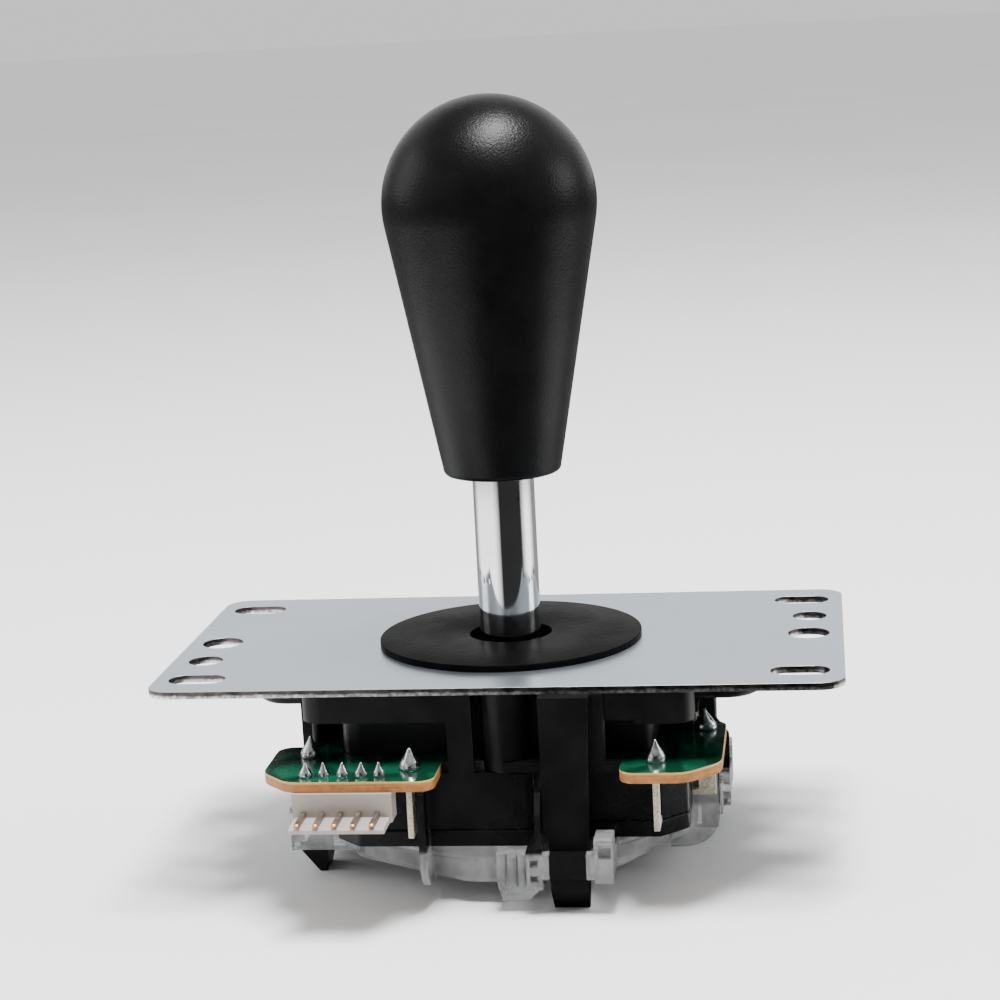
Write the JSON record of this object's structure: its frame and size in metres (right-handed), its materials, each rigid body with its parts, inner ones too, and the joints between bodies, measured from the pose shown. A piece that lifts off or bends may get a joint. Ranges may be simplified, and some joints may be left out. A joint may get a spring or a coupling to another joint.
{
  "type": "arcade joystick lever",
  "caption": "Arcade joystick lever: bat handle on a sprung shaft in a ball seat, working switches round a cup actuator, with a clear restrictor gate and a flat mounting plate.",
  "frame": {"origin": "centre of the mounting plate's top face", "axes": "+Z along the lever towards the handle, +X along the plate's length, -Y towards the header"},
  "size_m": [0.095, 0.0703, 0.1083],
  "materials": {
    "plated_steel": "bright zinc-plated sheet",
    "chrome": "polished plating",
    "spring_steel": "drawn wire and strip",
    "bat_plastic": "satin moulded",
    "washer_plastic": "fine matt grain",
    "body_plastic": "satin moulded",
    "switch_plastic": "satin moulded",
    "plunger_plastic": "smooth moulded",
    "natural_plastic": "smooth moulded",
    "header_plastic": "smooth moulded",
    "board": "green solder mask on phenolic board",
    "solder": "bright solder",
    "tinned_brass": "tinned blade",
    "clear_plastic": "clear moulded"
  },
  "bodies": {
    "base": {"mounting_plate": "plated_steel", "plate_screws": "plated_steel", "dust_washer": "washer_plastic", "base_body": "body_plastic", "circuit_board": "board", "solder_joints": "solder", "header_housing": "header_plastic", "header_pins": "tinned_brass", "restrictor_gate": "clear_plastic", "switch_case_front": "switch_plastic", "switch_cover_front": "switch_plastic", "lever_strip_front": "spring_steel", "switch_terminals_front": "tinned_brass", "switch_case_right": "switch_plastic", "switch_cover_right": "switch_plastic", "lever_strip_right": "spring_steel", "switch_terminals_right": "tinned_brass", "switch_case_back": "switch_plastic", "switch_cover_back": "switch_plastic", "lever_strip_back": "spring_steel", "switch_terminals_back": "tinned_brass", "switch_case_left": "switch_plastic", "switch_cover_left": "switch_plastic", "lever_strip_left": "spring_steel", "switch_terminals_left": "tinned_brass"},
    "spring": {"centring_spring": "spring_steel"},
    "rocker": {"pivot_ball": "natural_plastic", "spring_collar": "natural_plastic", "actuator": "natural_plastic"},
    "lever": {"shaft": "chrome", "bat_top": "bat_plastic", "retaining_clip": "spring_steel"},
    "plunger_front": {"switch_plunger_front": "plunger_plastic"},
    "plunger_right": {"switch_plunger_right": "plunger_plastic"},
    "plunger_back": {"switch_plunger_back": "plunger_plastic"},
    "plunger_left": {"switch_plunger_left": "plunger_plastic"}
  },
  "joints": [
    {"name": "tilt_x", "type": "hinge", "parent": "base", "child": "spring", "pos_m": [0, 0, -0.0052], "axis": [1, 0, 0], "range_deg": [-8.5, 8.5], "stiffness_Nm_per_rad": 0.35, "deforming": ["centring_spring", "lever_strip_front", "lever_strip_right", "lever_strip_back", "lever_strip_left"]},
    {"name": "tilt_y", "type": "hinge", "parent": "spring", "child": "rocker", "pos_m": [0, 0, -0.0052], "axis": [0, 1, 0], "range_deg": [-8.5, 8.5], "stiffness_Nm_per_rad": 0.35, "deforming": ["centring_spring", "lever_strip_front", "lever_strip_right", "lever_strip_back", "lever_strip_left"]},
    {"name": "lever_spin", "type": "hinge", "parent": "rocker", "child": "lever", "pos_m": [0, 0, -0.0052], "axis": [0, 0, 1], "continuous": true},
    {"name": "press_front", "type": "slide", "parent": "base", "child": "plunger_front", "axis": [0, -1, 0], "range_m": [0, 0.0006], "stiffness_N_per_m": 1500, "springref_m": -0.0002},
    {"name": "press_right", "type": "slide", "parent": "base", "child": "plunger_right", "axis": [1, 0, 0], "range_m": [0, 0.0006], "stiffness_N_per_m": 1500, "springref_m": -0.0002},
    {"name": "press_back", "type": "slide", "parent": "base", "child": "plunger_back", "axis": [0, 1, 0], "range_m": [0, 0.0006], "stiffness_N_per_m": 1500, "springref_m": -0.0002},
    {"name": "press_left", "type": "slide", "parent": "base", "child": "plunger_left", "axis": [-1, 0, 0], "range_m": [0, 0.0006], "stiffness_N_per_m": 1500, "springref_m": -0.0002}
  ]
}
